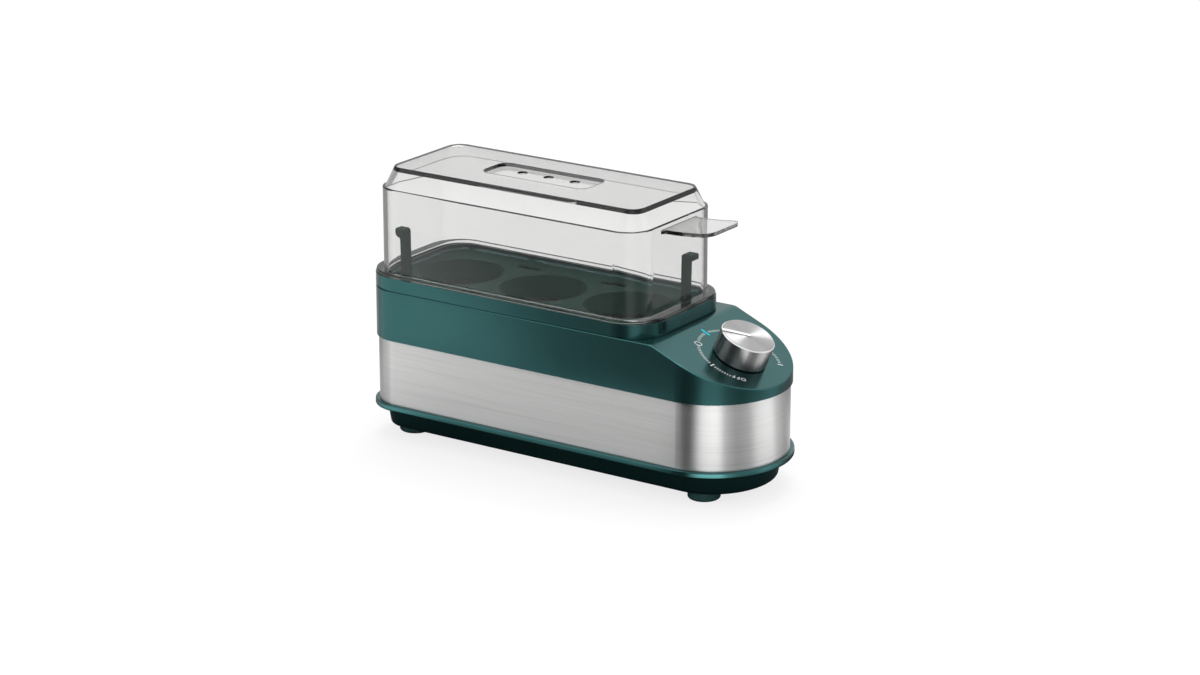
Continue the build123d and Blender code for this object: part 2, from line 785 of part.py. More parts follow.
# Thermostat: disc with two ears against the pan, and two blades below
with BuildPart() as thermostat:
    with BuildSketch(Plane.XY.offset(pan_underside_z)):
        with Locations((tray_x, 0)):
            Circle(thermostat_radius)
    extrude(amount=-thermostat_height)
    fillet(thermostat.edges().group_by(Axis.Z)[0], thermostat_edge)
    with BuildSketch(Plane.XY.offset(pan_underside_z)):
        with Locations((tray_x, 0)):
            SlotCenterToCenter(ear_pitch, 2 * ear_radius)
    extrude(amount=-ear_height)
    with BuildSketch(Plane.XY.offset(pan_underside_z - thermostat_height)):
        with Locations(*[(tray_x, side * thermostat_tab_spread / 2) for side in (-1, 1)]):
            Rectangle(blade_width, blade_metal)
    extrude(amount=-blade_length)
    with Locations(*[(x, 0, pan_underside_z) for x in ear_places]):
        Hole(small_stud_radius + hole_play, ear_height)

# Thermal fuse: small can across the pan
with BuildPart() as thermal_fuse:
    with BuildSketch(Plane.XZ):
        with Locations((fuse_x, fuse_z)):
            Circle(fuse_radius)
    extrude(amount=fuse_length / 2, both=True)

# Fuse clip: sheet strip under one ear of the thermostat, bent round the fuse
with BuildPart() as fuse_clip:
    clip_top_z = pan_underside_z - ear_height
    wrap_radius = fuse_radius + seat_play
    with BuildSketch(Plane.XZ):
        with BuildLine():
            Polyline(
                (ear_places[1] - ear_radius, clip_top_z),
                (fuse_x - wrap_radius, clip_top_z),
                (fuse_x - wrap_radius, fuse_z),
            )
            CenterArc((fuse_x, fuse_z), wrap_radius, 180, 180)
            offset(amount=clip_metal, side=Side.RIGHT, kind=Kind.INTERSECTION)
        make_face()
    extrude(amount=clip_width / 2, both=True)
    with Locations((ear_places[1], 0, clip_top_z)):
        Hole(small_stud_radius + hole_play, clip_metal + overrun)

# Nuts on the thermostat's studs, the second one below the fuse clip
with BuildPart() as thermostat_nuts:
    nut_tops = (pan_underside_z - ear_height, pan_underside_z - ear_height - clip_metal)
    for x, top_z in zip(ear_places, nut_tops):
        with BuildSketch(Plane.XY.offset(top_z)):
            with Locations((x, 0)):
                RegularPolygon(small_nut_flats / 2, 6, major_radius=False)
                Circle(small_stud_radius + screw_play, mode=Mode.SUBTRACT)
        extrude(amount=-small_nut_height)

# Timer, stacked along the knob's axis: front plate, clockwork case, blades, shaft and screws
screw_spots = [(0, side * timer_screw_pitch / 2) for side in (-1, 1)]
case_top = -housing_wall - timer_plate_metal
case_foot = case_top - timer_depth
with BuildPart() as timer_plate:
    with BuildSketch(knob_plane.offset(-housing_wall)):
        RectangleRounded(timer_plate_width, timer_plate_length, timer_plate_corner)
        Circle(shaft_radius + hole_play, mode=Mode.SUBTRACT)
        with Locations(*screw_spots):
            Circle(timer_screw_radius + screw_play, mode=Mode.SUBTRACT)
    extrude(amount=-timer_plate_metal)

with BuildPart() as timer_body:
    with BuildSketch(knob_plane.offset(case_top)):
        Circle(timer_radius)
    extrude(amount=-timer_depth)
    fillet(timer_body.edges().filter_by(GeomType.CIRCLE), timer_edge)
    with BuildSketch(knob_plane.offset(case_top)):
        Circle(shaft_radius + running_play)
    extrude(amount=-shaft_depth - shaft_end_play, mode=Mode.SUBTRACT)
    with BuildSketch(knob_plane.offset(case_top)):
        with Locations(*screw_spots):
            Circle(timer_screw_radius + hole_play)
    extrude(amount=-timer_screw_length, mode=Mode.SUBTRACT)

blade_spots = [(0, side * timer_tab_spread / 2) for side in (-1, 1)]
with BuildPart() as timer_tabs:
    with BuildSketch(knob_plane.offset(case_foot)):
        with Locations(*blade_spots):
            Rectangle(blade_width, blade_metal)
    extrude(amount=-blade_length)

core_foot = knob_gap + core_lift
flat_x = shaft_radius * shaft_flat_share
with BuildPart() as timer_shaft:
    with BuildSketch(pointer_plane.offset(case_top - shaft_depth)):
        Circle(shaft_radius)
    extrude(amount=shaft_depth - case_top + shaft_reach)
    with BuildSketch(pointer_plane.offset(knob_gap)):
        with Locations((flat_x + shaft_radius, 0)):
            Rectangle(2 * shaft_radius, 2 * shaft_radius)
    extrude(amount=shaft_reach, mode=Mode.SUBTRACT)

with BuildPart() as timer_screws:
    with Locations(knob_plane):
        with Locations(*screw_spots):
            Cylinder(
                timer_screw_radius,
                timer_screw_length,
                align=(Align.CENTER, Align.CENTER, Align.MAX),
            )
            Cone(
                timer_screw_radius,
                timer_screw_head_radius,
                timer_screw_head_radius - timer_screw_radius,
                align=(Align.CENTER, Align.CENTER, Align.MAX),
            )

# Knob: plastic core on the shaft's flat, spun cap over it, and the pointer let into the cap
cap_top = knob_gap + knob_height
core_top = cap_top - cap_metal
core_radius = knob_radius - cap_metal - screw_play
with BuildPart() as knob_core:
    with BuildSketch(pointer_plane.offset(core_foot)):
        Circle(core_radius)
        Circle(core_radius - core_rim, mode=Mode.SUBTRACT)
        Circle(core_hub_radius)
    extrude(amount=core_top - core_foot)
    with BuildSketch(pointer_plane.offset(core_top)):
        Circle(core_radius)
    extrude(amount=-core_web)
    with BuildSketch(pointer_plane.offset(core_foot)):
        bore_radius = shaft_radius + screw_play
        Circle(bore_radius)
        with Locations((flat_x + screw_play + bore_radius, 0)):
            Rectangle(2 * bore_radius, 2 * bore_radius, mode=Mode.SUBTRACT)
    extrude(amount=shaft_reach - core_foot + seat_play, mode=Mode.SUBTRACT)

pointer_foot = knob_gap + pointer_skirt_gap
with BuildPart() as knob_cap:
    with BuildSketch(knob_plane.offset(knob_gap)):
        Circle(knob_radius)
    extrude(amount=knob_height)
    chamfer(knob_cap.edges().sort_by(Axis(knob_plane.origin, knob_plane.z_dir))[-1], cap_chamfer)
    with BuildSketch(knob_plane.offset(knob_gap)):
        Circle(knob_radius - cap_metal)
    extrude(amount=knob_height - cap_metal, mode=Mode.SUBTRACT)
    with BuildSketch(pointer_plane.offset(pointer_foot - screw_play)):
        with Locations((core_radius, 0)):
            Rectangle(2 * overrun, pointer_width + 2 * screw_play)
    extrude(amount=knob_height, mode=Mode.SUBTRACT)
    with BuildSketch(pointer_plane.offset(core_top - overrun)):
        slot_length = knob_radius + pointer_tail + overrun
        with Locations((slot_length / 2 - pointer_tail - screw_play, 0)):
            Rectangle(slot_length, pointer_width + 2 * screw_play)
    extrude(amount=cap_metal + 2 * overrun, mode=Mode.SUBTRACT)

pointer_side = Plane(pointer_plane.origin, x_dir=pointer_plane.x_dir, z_dir=-pointer_plane.y_dir)
with BuildPart() as knob_pointer:
    with BuildSketch(pointer_side) as pointer_profile:
        with BuildLine():
            Polyline(
                (-pointer_tail, core_top),
                (-pointer_tail, cap_top + pointer_proud),
                (knob_radius + pointer_proud, cap_top + pointer_proud),
                (knob_radius + pointer_proud, pointer_foot),
                (core_radius + screw_play, pointer_foot),
                (core_radius + screw_play, core_top),
                close=True,
            )
        make_face()
        fillet(pointer_profile.vertices().sort_by_distance((knob_radius, cap_top))[0], cap_chamfer)
    extrude(amount=pointer_width / 2, both=True)

# Cord gland: flanged bush through the back wall, held by a nut inside
back_y = body_width / 2
with BuildPart() as cord_gland:
    with BuildSketch(Plane.XZ.offset(-back_y - gland_flange)):
        with Locations((gland_x, gland_z)):
            Circle(gland_flange_radius)
    extrude(amount=gland_flange)
    fillet(cord_gland.edges().group_by(Axis.Y)[-1], gland_edge)
    with BuildSketch(Plane.XZ.offset(-back_y)):
        with Locations((gland_x, gland_z)):
            Circle(gland_radius)
    extrude(amount=gland_length)
    with BuildSketch(Plane.XZ.offset(-back_y - overrun)):
        with Locations((gland_x, gland_z)):
            Circle(gland_bore_radius)
    extrude(amount=gland_length + 2 * overrun, mode=Mode.SUBTRACT)

with BuildPart() as gland_nut:
    with BuildSketch(Plane.XZ.offset(-back_y - skirt_inner_grow)):
        with Locations((gland_x, gland_z)):
            RegularPolygon(gland_nut_flats / 2, 6, major_radius=False)
            Circle(gland_radius + screw_play, mode=Mode.SUBTRACT)
    extrude(amount=gland_nut_height)

# Terminal block on its boss, with a wire bore for each pole, and its screw
block_z = floor_z + block_boss_height
bore_z = block_z + block_bore_lift
pole_places = [block_offset + side * block_pole_pitch / 2 for side in (-1, 1)]
with BuildPart() as terminal_block:
    with BuildSketch(Plane.XY.offset(block_z)):
        with Locations((block_x, block_offset)):
            Rectangle(block_length, block_width)
    extrude(amount=block_height)
    with BuildSketch(Plane.YZ.offset(block_x)):
        with Locations(*[(y, bore_z) for y in pole_places]):
            Circle(block_bore_radius)
    extrude(amount=block_length, both=True, mode=Mode.SUBTRACT)
    with Locations((block_x, block_offset, block_z + block_height)):
        Hole(block_screw_radius + hole_play)

with BuildPart() as block_screw:
    with Locations((block_x, block_offset, block_z + block_height)):
        Cylinder(
            block_screw_head_radius,
            block_screw_head_height,
            align=(Align.CENTER, Align.CENTER, Align.MIN),
        )
        Cylinder(
            block_screw_radius,
            block_height + block_screw_depth,
            align=(Align.CENTER, Align.CENTER, Align.MAX),
        )

# Base screws: from the recesses in the base into the housing's posts
screw_seat_z = base_z + screw_recess_depth
with BuildPart() as base_screws:
    with Locations(*[(x, y, screw_seat_z) for x, y in post_places]):
        Cylinder(
            base_screw_head_radius,
            base_screw_head_height,
            align=(Align.CENTER, Align.CENTER, Align.MAX),
        )
        Cylinder(
            base_screw_radius,
            base_screw_length,
            align=(Align.CENTER, Align.CENTER, Align.MIN),
        )


def lead(points, bends):
    """Return one insulated lead: straight runs joined by tangent bends."""
    with BuildPart() as wire:
        with BuildLine() as route:
            FilletPolyline(*points, radius=bends)
        with BuildSketch(Plane(route.line @ 0, z_dir=route.line % 0)):
            Circle(lead_radius)
        sweep()
    return wire


# Leads between the terminals
near_blade, far_blade = [
    knob_plane.from_local_coords((x, y, case_foot - blade_length)) for x, y in blade_spots
]
blade_run = -off_panel * lead_drop
block_face_x = block_x + block_length / 2
thermostat_blade_z = pan_underside_z - thermostat_height - blade_length
low_z = block_z + block_height + lead_radius + crossing_lift
high_z = pin_end_z + lead_bend
line_lead = lead(
    [
        near_blade,
        near_blade + blade_run,
        (block_face_x + lead_drop, pole_places[0], bore_z),
        (block_face_x - lead_entry, pole_places[0], bore_z),
    ],
    lead_bend,
)
neutral_lead = lead(
    [
        (element_end_x, half_spread, pin_end_z),
        (element_end_x, half_spread, bore_z),
        (block_face_x - lead_entry, pole_places[1], bore_z),
    ],
    lead_bend,
)
timer_lead = lead(
    [
        far_blade,
        far_blade + blade_run,
        (tray_x, -thermostat_tab_spread / 2, low_z),
        (tray_x, -thermostat_tab_spread / 2, thermostat_blade_z),
    ],
    lead_bend,
)
fuse_side = fuse_length / 2 + fuse_lead_reach
fuse_lead = lead(
    [
        (fuse_x, fuse_length / 2, fuse_z),
        (fuse_x, fuse_side, fuse_z),
        (fuse_x, fuse_side, high_z),
        (tray_x, thermostat_tab_spread / 2, high_z),
        (tray_x, thermostat_tab_spread / 2, thermostat_blade_z),
    ],
    (fuse_lead_bend, lead_bend, lead_bend),
)
element_lead = lead(
    [
        (fuse_x, -fuse_length / 2, fuse_z),
        (fuse_x, -fuse_side, fuse_z),
        (fuse_x, -fuse_side, pin_end_z),
        (element_end_x, -half_spread, pin_end_z - pin_drop),
        (element_end_x, -half_spread, pin_end_z),
    ],
    (fuse_lead_bend, lead_bend, lead_bend),
)

pieces = {
    "feet": feet,
    "base_shell": base_shell,
    "base_screws": base_screws,
    "steel_band": steel_band,
    "inner_frame": inner_frame,
    "upper_housing": upper_housing,
    "tray_collar": tray_collar,
    "egg_tray": egg_tray,
    "lid": lid,
    "water_pan": water_pan,
    "pan_seal": pan_seal,
    "heating_element": heating_element,
    "element_insulators": element_insulators,
    "pan_straps": pan_straps,
    "pan_nuts": pan_nuts,
    "thermostat": thermostat,
    "thermostat_nuts": thermostat_nuts,
    "thermal_fuse": thermal_fuse,
    "fuse_clip": fuse_clip,
    "timer_plate": timer_plate,
    "timer_body": timer_body,
    "timer_tabs": timer_tabs,
    "timer_shaft": timer_shaft,
    "timer_screws": timer_screws,
    "knob_core": knob_core,
    "knob_cap": knob_cap,
    "knob_pointer": knob_pointer,
    "cord_gland": cord_gland,
    "gland_nut": gland_nut,
    "terminal_block": terminal_block,
    "block_screw": block_screw,
    "line_lead": line_lead,
    "neutral_lead": neutral_lead,
    "timer_lead": timer_lead,
    "fuse_lead": fuse_lead,
    "element_lead": element_lead,
}
os.makedirs("parts", exist_ok=True)
for name, piece in pieces.items():
    piece.part.label = name
    export_step(piece.part, f"parts/{name}.step")
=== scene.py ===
import json
from math import atan2, cos, degrees, hypot, pi, radians, sin

import bpy
from mathutils import Matrix, Vector

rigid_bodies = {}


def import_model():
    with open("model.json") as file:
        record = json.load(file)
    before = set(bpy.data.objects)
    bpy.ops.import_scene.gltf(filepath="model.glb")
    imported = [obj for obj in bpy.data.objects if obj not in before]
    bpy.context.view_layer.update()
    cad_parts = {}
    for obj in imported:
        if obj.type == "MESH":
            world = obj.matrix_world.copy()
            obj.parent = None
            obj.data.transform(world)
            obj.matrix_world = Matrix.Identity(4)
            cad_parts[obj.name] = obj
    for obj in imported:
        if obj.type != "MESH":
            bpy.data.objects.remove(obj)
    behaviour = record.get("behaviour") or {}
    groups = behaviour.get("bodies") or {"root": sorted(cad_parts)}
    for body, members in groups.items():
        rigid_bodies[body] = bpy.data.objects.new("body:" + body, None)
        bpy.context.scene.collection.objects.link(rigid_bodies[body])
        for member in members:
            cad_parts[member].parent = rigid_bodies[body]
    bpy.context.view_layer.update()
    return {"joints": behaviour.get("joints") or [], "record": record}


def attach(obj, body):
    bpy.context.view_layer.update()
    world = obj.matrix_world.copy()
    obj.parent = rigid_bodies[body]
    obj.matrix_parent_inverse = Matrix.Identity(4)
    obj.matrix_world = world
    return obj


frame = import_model()

MM = 0.001
scene = bpy.context.scene

# The timer knob's axis, which stands on the panel, and two directions that lie in the panel
knob_joint = next(joint for joint in frame["joints"] if joint["name"] == "knob_turn")
knob_origin = Vector(knob_joint["pos_m"])
knob_axis = Vector(knob_joint["axis"]).normalized()
KNOB_RADIUS = 12.56 * MM
panel_side = Vector((0, 1, 0))
panel_down = panel_side.cross(knob_axis)


# Shader nodes

NOISE_RANGE = (0.3, 0.7)  # where most values of a noise lie
UNIT_RANGE = (0.0, 1.0)


def rgba(colour, share=1.0):
    return (colour[0] * share, colour[1] * share, colour[2] * share, 1.0)


def grey(level):
    return (level, level, level)


def node(tree, kind, inputs=None, **settings):
    """Adds a shader node, sets its settings, and sets or links its inputs."""
    made = tree.nodes.new("ShaderNode" + kind)
    for key, value in settings.items():
        setattr(made, key, value)
    for key, value in (inputs or {}).items():
        connect(tree, made, key, value)
    return made


def connect(tree, target, key, value):
    """Links a socket to an input, or sets the input to a plain value."""
    if isinstance(value, bpy.types.NodeSocket):
        tree.links.new(value, target.inputs[key])
    else:
        target.inputs[key].default_value = value


def feed(tree, target, **sockets):
    """Sets or links inputs by name, with an underscore for each space."""
    for key, value in sockets.items():
        connect(tree, target, key.replace("_", " "), value)


def shader(name):
    """A new material: itself, its node tree, its Principled shader and its object coordinates."""
    material = bpy.data.materials.new(name)
    material.use_nodes = True
    tree = material.node_tree
    place = node(tree, "TexCoord").outputs["Object"]
    return material, tree, tree.nodes["Principled BSDF"], place


def scalar_math(tree, operation, *values, clamp=False):
    settings = {"operation": operation, "use_clamp": clamp}
    return node(tree, "Math", dict(enumerate(values)), **settings).outputs["Value"]


def vector_math(tree, operation, *values, output="Vector"):
    inputs = dict(enumerate(values))
    return node(tree, "VectorMath", inputs, operation=operation).outputs[output]


def noise(tree, place, scale, detail=2.0, stretch=None):
    if stretch:
        place = node(tree, "Mapping", {"Vector": place, "Scale": stretch}).outputs["Vector"]
    inputs = {"Vector": place, "Scale": scale, "Detail": detail}
    return node(tree, "TexNoise", inputs).outputs["Fac"]


def spread(tree, value, low, high, span=NOISE_RANGE):
    """Maps a value at the start and stop of a span to low and high."""
    return node(tree, "MapRange", {
        "Value": value, "From Min": span[0], "From Max": span[1], "To Min": low, "To Max": high,
    }).outputs["Result"]


def blend(tree, factor, first, second):
    """A mix of two colours, each a socket or a colour of three parts."""
    ends = [end if isinstance(end, bpy.types.NodeSocket) else rgba(end) for end in (first, second)]
    return node(tree, "Mix", {0: factor, 6: ends[0], 7: ends[1]}, data_type="RGBA").outputs[2]


def shades(tree, factor, colour, shade):
    """A colour that drifts a share darker and lighter."""
    return blend(tree, factor, rgba(colour, 1 - shade)[:3], rgba(colour, 1 + shade)[:3])


def bump(tree, height, depth, strength=1.0):
    inputs = {"Height": height, "Distance": depth, "Strength": strength}
    return node(tree, "Bump", inputs).outputs["Normal"]


# Materials. Scales are in waves per metre, and pairs run from the dark or smooth end to the other.

MOULD_DRIFT_SCALE = 28.0
MOULD_GLOSS_SCALE = 210.0
MOULD_GLOSS = (-0.04, 0.05)  # swing about the middle roughness


def moulded(name, colour, roughness, grain=0.6 * MM, depth=0.02 * MM, shade=0.07, specular=0.5):
    """Moulded plastic or rubber: a fine skin grain, and colour and gloss that drift a little."""
    material, tree, surface, place = shader(name)
    drift = spread(tree, noise(tree, place, MOULD_DRIFT_SCALE, detail=3.0), *UNIT_RANGE)
    gloss = noise(tree, place, MOULD_GLOSS_SCALE)
    skin = noise(tree, place, 1 / grain)
    feed(
        tree, surface,
        Base_Color=shades(tree, drift, colour, shade),
        Roughness=spread(tree, gloss, *(roughness + swing for swing in MOULD_GLOSS)),
        Specular_IOR_Level=specular,
        Normal=bump(tree, skin, depth),
    )
    return material


PEARL_DRIFT_SCALE = 24.0
PEARL_GLOSS_SCALE = 60.0
PEARL_SHADE = 0.04
PEARL_ROUGHNESS = (0.18, 0.21)


def pearl_plastic(name, colour):
    """Satin moulding with a metal sheen, which drifts a little in tone and gloss."""
    material, tree, surface, place = shader(name)
    drift = spread(tree, noise(tree, place, PEARL_DRIFT_SCALE, detail=3.0), *UNIT_RANGE)
    gloss = noise(tree, place, PEARL_GLOSS_SCALE)
    feed(
        tree, surface,
        Base_Color=shades(tree, drift, colour, PEARL_SHADE),
        Roughness=spread(tree, gloss, *PEARL_ROUGHNESS),
        Metallic=0.94,
        Specular_IOR_Level=0.3,
    )
    return material


EVEN = (1.0, 1.0, 1.0)
MARK_DEPTH = 0.006 * MM
MARK_SHADE = 0.1
MARK_GLOSS = (-0.06, 0.08)  # swing about the middle roughness


def worked_metal(name, colour, roughness, stretch, scale):
    """Metal with marks of its making: drawn, plated or turned."""
    material, tree, surface, place = shader(name)
    marks = noise(tree, place, scale, detail=4.0, stretch=stretch)
    feed(
        tree, surface,
        Base_Color=shades(tree, spread(tree, marks, *UNIT_RANGE), colour, MARK_SHADE),
        Roughness=spread(tree, marks, *(roughness + swing for swing in MARK_GLOSS)),
        Metallic=1.0,
        Normal=bump(tree, marks, MARK_DEPTH),
    )
    return material


BRUSH_STRETCH = (22.0, 22.0, 5200.0)
BRUSH_TONES = ((0.54, 0.54, 0.537), (0.62, 0.62, 0.616))
BRUSH_ROUGHNESS = (0.38, 0.43)
BRUSH_DEPTH = 0.004 * MM
STREAK_STRETCH = (11.0, 11.0, 620.0)
STREAK_TONE = (0.41, 0.41, 0.407)
STREAK_SHARE = 0.34
STREAK_RANGE = (0.5, 0.75)


def brushed_band(name):
    """Sheet steel brushed along its length: fine lines, and fainter broad streaks between them."""
    material, tree, surface, place = shader(name)
    lines = noise(tree, place, 1.0, detail=3.0, stretch=BRUSH_STRETCH)
    streaks = noise(tree, place, 1.0, detail=3.0, stretch=STREAK_STRETCH)
    line_tone = blend(tree, spread(tree, lines, *UNIT_RANGE), *BRUSH_TONES)
    streak_share = spread(tree, streaks, 0.0, STREAK_SHARE, STREAK_RANGE)
    feed(
        tree, surface,
        Base_Color=blend(tree, streak_share, line_tone, STREAK_TONE),
        Roughness=spread(tree, lines, *BRUSH_ROUGHNESS),
        Metallic=1.0,
        Anisotropic=1.0,
        Anisotropic_Rotation=0.25,
        Tangent=node(tree, "Tangent", direction_type="RADIAL", axis="Z").outputs["Tangent"],
        Normal=bump(tree, lines, BRUSH_DEPTH, strength=0.6),
    )
    return material


CLEAR_HAZE_SCALE = 90.0
CLEAR_TONES = ((0.95, 0.948, 0.945), (0.98, 0.978, 0.975))
CLEAR_ROUGHNESS = (0.004, 0.02)
CLEAR_FLOW_SCALE = 16.0
CLEAR_FLOW_DEPTH = 0.4 * MM
CLEAR_SHADOW = (0.93, 0.927, 0.92)
CLEAR_DEPTH_TONE = (0.70, 0.705, 0.70)
CLEAR_DENSITY = 115.0


def clear_moulding(name):
    """Clear moulded plastic, greyer through its depth, that lets lamp light through."""
    material, tree, surface, place = shader(name)
    haze = noise(tree, place, CLEAR_HAZE_SCALE, detail=3.0)
    flow = noise(tree, place, CLEAR_FLOW_SCALE, detail=1.0)
    feed(
        tree, surface,
        Base_Color=blend(tree, haze, *CLEAR_TONES),
        Roughness=spread(tree, haze, *CLEAR_ROUGHNESS),
        IOR=1.49,
        Specular_IOR_Level=0.25,
        Transmission_Weight=1.0,
        Normal=bump(tree, flow, CLEAR_FLOW_DEPTH, strength=0.3),
    )
    through = node(tree, "BsdfTransparent", {"Color": rgba(CLEAR_SHADOW)})
    either = node(tree, "MixShader", {
        0: node(tree, "LightPath").outputs["Is Shadow Ray"],
        1: surface.outputs["BSDF"],
        2: through.outputs["BSDF"],
    })
    depth = node(tree, "VolumeAbsorption", {
        "Color": rgba(CLEAR_DEPTH_TONE), "Density": CLEAR_DENSITY,
    })
    feed(
        tree, tree.nodes["Material Output"],
        Surface=either.outputs["Shader"],
        Volume=depth.outputs["Volume"],
    )
    return material


def facing_up(tree, cosines):
    """From 0 to 1 as a surface turns to face along the knob's axis, between two cosines."""
    normal = node(tree, "NewGeometry").outputs["Normal"]
    facing = vector_math(tree, "DOT_PRODUCT", normal, knob_axis, output="Value")
    return spread(tree, facing, *UNIT_RANGE, cosines)


CAP_UPPER = (0.58, 0.72)  # cosines at which the side turns to the cut edge
CAP_FLAT = (0.82, 0.90)  # and the cut edge to the top
CAP_RING_SCALE = 9000.0
CAP_RING_DEPTH = 0.006 * MM
# Painted shade: the side is the same metal as the top, coloured darker to stand in for darker
# reflections on it
CAP_SIDE_PAINTED_SHADE_TONES = ((0.19, 0.186, 0.186), (0.24, 0.234, 0.234))
CAP_TOP_TONES = (grey(0.41), grey(0.58))
CAP_ROUGHNESS = (0.23, 0.28)
CAP_TOP_ROUGHER = 0.08
# Painted highlight: the cut edge is coloured near white and not metal, in place of the light it
# catches
CUT_EDGE_PAINTED_HIGHLIGHT = grey(0.92)
HIGHLIGHT_INNER = KNOB_RADIUS - 0.55 * MM
HIGHLIGHT_OUTER = KNOB_RADIUS - 0.45 * MM


def spun_cap(name):
    """Turned metal cap: rings on the top, a painted highlight on the cut edge, and a satin side
    painted darker as shade.
    """
    material, tree, surface, place = shader(name)
    arm = vector_math(tree, "SUBTRACT", place, knob_origin)
    sweep = vector_math(tree, "CROSS_PRODUCT", arm, knob_axis)
    reach = vector_math(tree, "LENGTH", sweep, output="Value")
    rings = node(tree, "TexNoise", {
        "W": reach, "Scale": CAP_RING_SCALE, "Detail": 2.0,
    }, noise_dimensions="1D").outputs["Fac"]
    upper = facing_up(tree, CAP_UPPER)
    flat = facing_up(tree, CAP_FLAT)
    rim = spread(tree, reach, *UNIT_RANGE, (HIGHLIGHT_INNER, HIGHLIGHT_OUTER))
    # Mask of the painted highlight on the cut edge
    cut_highlight = scalar_math(tree, "MULTIPLY", scalar_math(tree, "SUBTRACT", upper, flat), rim)
    # The side's darker tones are painted shade
    side_painted_shade = blend(tree, rings, *CAP_SIDE_PAINTED_SHADE_TONES)
    top_tone = blend(tree, rings, *CAP_TOP_TONES)
    metal_tone = blend(tree, upper, side_painted_shade, top_tone)
    satin = spread(tree, rings, *CAP_ROUGHNESS)
    grain = node(tree, "Mix", {0: upper, 4: knob_axis, 5: arm}, data_type="VECTOR").outputs[1]
    feed(
        tree, surface,
        # painted highlight on the cut edge: near white, with no metal there
        Base_Color=blend(tree, cut_highlight, metal_tone, CUT_EDGE_PAINTED_HIGHLIGHT),
        Roughness=scalar_math(tree, "MULTIPLY_ADD", upper, CAP_TOP_ROUGHER, satin),
        Metallic=spread(tree, cut_highlight, 1.0, 0.0, UNIT_RANGE),
        Anisotropic=1.0,
        Tangent=grain,
        Normal=bump(tree, rings, CAP_RING_DEPTH, strength=0.6),
    )
    return material


POINTER_UPPER = (0.5, 0.7)  # cosines at which the strip turns to the white
POINTER_DRIFT_SCALE = 300.0
POINTER_WHITES = ((0.84, 0.85, 0.85), grey(0.90))
POINTER_STRIPS = ((0.36, 0.365, 0.37), (0.44, 0.445, 0.45))
POINTER_ROUGHNESS = (0.30, 0.36)
POINTER_STRIP_METAL = 0.8


def pointer_inlay(name):
    """White inlay on the knob's top that runs on down its side as a dull metal strip."""
    material, tree, surface, place = shader(name)
    upper = facing_up(tree, POINTER_UPPER)
    drift = noise(tree, place, POINTER_DRIFT_SCALE)
    white = blend(tree, drift, *POINTER_WHITES)
    strip = blend(tree, drift, *POINTER_STRIPS)
    feed(
        tree, surface,
        Base_Color=blend(tree, upper, strip, white),
        Roughness=spread(tree, drift, *POINTER_ROUGHNESS),
        Metallic=spread(tree, upper, POINTER_STRIP_METAL, 0.0, UNIT_RANGE),
    )
    return material


TEAL = (0.040, 0.124, 0.125)
# Tray green: a darker plastic than the housing, made darker still as painted shade, the shade that
# eggs in the seats would cast
TRAY_GREEN_AND_PAINTED_SHADE = (0.013, 0.040, 0.031)
FOOT_GREEN = (0.022, 0.075, 0.074)
BLACK = (0.020, 0.020, 0.022)
OFF_WHITE = (0.72, 0.72, 0.70)

SLOT_MATERIALS = {
    "green_plastic": pearl_plastic("green_plastic", TEAL),
    # tray insert: its green includes painted shade
    "tray_plastic": moulded(
        "tray_plastic", TRAY_GREEN_AND_PAINTED_SHADE, 0.34, grain=1.2 * MM, depth=0.004 * MM, specular=0.01,
    ),
    "frame_plastic": moulded("frame_plastic", (0.05, 0.05, 0.052), 0.45),
    "foot_rubber": moulded("foot_rubber", FOOT_GREEN, 0.42),
    "band_steel": brushed_band("band_steel"),
    "clear_plastic": clear_moulding("clear_plastic"),
    "pan_steel": worked_metal("pan_steel", (0.34, 0.34, 0.336), 0.70, (1.0, 7.0, 1.0), 160.0),
    "seal_rubber": moulded("seal_rubber", OFF_WHITE, 0.55),
    "heater_tube": worked_metal("heater_tube", (0.16, 0.15, 0.145), 0.5, EVEN, 420.0),
    "ceramic": moulded("ceramic", (0.80, 0.78, 0.72), 0.22, grain=0.9 * MM, depth=0.01 * MM),
    "zinc_sheet": worked_metal("zinc_sheet", (0.56, 0.57, 0.58), 0.34, EVEN, 130.0),
    "zinc_screw": worked_metal("zinc_screw", (0.60, 0.61, 0.62), 0.24, (1.0, 1.0, 6.0), 900.0),
    "black_phenolic": moulded("black_phenolic", BLACK, 0.4),
    "fuse_can": worked_metal("fuse_can", (0.66, 0.66, 0.68), 0.22, (1.0, 6.0, 1.0), 500.0),
    "timer_plastic": moulded("timer_plastic", (0.62, 0.61, 0.57), 0.42),
    "blade_brass": worked_metal("blade_brass", (0.78, 0.60, 0.28), 0.26, (1.0, 1.0, 5.0), 500.0),
    "shaft_plastic": moulded("shaft_plastic", (0.66, 0.65, 0.62), 0.4),
    "knob_metal": spun_cap("knob_metal"),
    "pointer_white": pointer_inlay("pointer_white"),
    "gland_plastic": moulded("gland_plastic", BLACK, 0.45),
    "block_plastic": moulded("block_plastic", OFF_WHITE, 0.4),
    "brown_sleeve": moulded("brown_sleeve", (0.16, 0.07, 0.03), 0.42),
    "blue_sleeve": moulded("blue_sleeve", (0.03, 0.10, 0.38), 0.42),
    "white_sleeve": moulded("white_sleeve", (0.70, 0.70, 0.67), 0.42),
}

for part in frame["record"]["subparts"]:
    carried = bpy.data.objects[part["node"]]
    carried.data.materials.clear()
    carried.data.materials.append(SLOT_MATERIALS[part["material_slot"]])


# Printing on the control panel, in reaches from the knob's axis and angles from straight down

INK_HEIGHT = 0.04 * MM
INK_SINK = 0.02 * MM


def panel_direction(angle):
    turn = radians(angle)
    return cos(turn) * panel_down + sin(turn) * panel_side


def panel_point(reach, angle, lift):
    return knob_origin + reach * panel_direction(angle) + lift * knob_axis


def ink(name, colour, specular):
    return moulded(
        name, colour, 0.5, grain=0.4 * MM, depth=0.004 * MM, shade=0.03, specular=specular,
    )


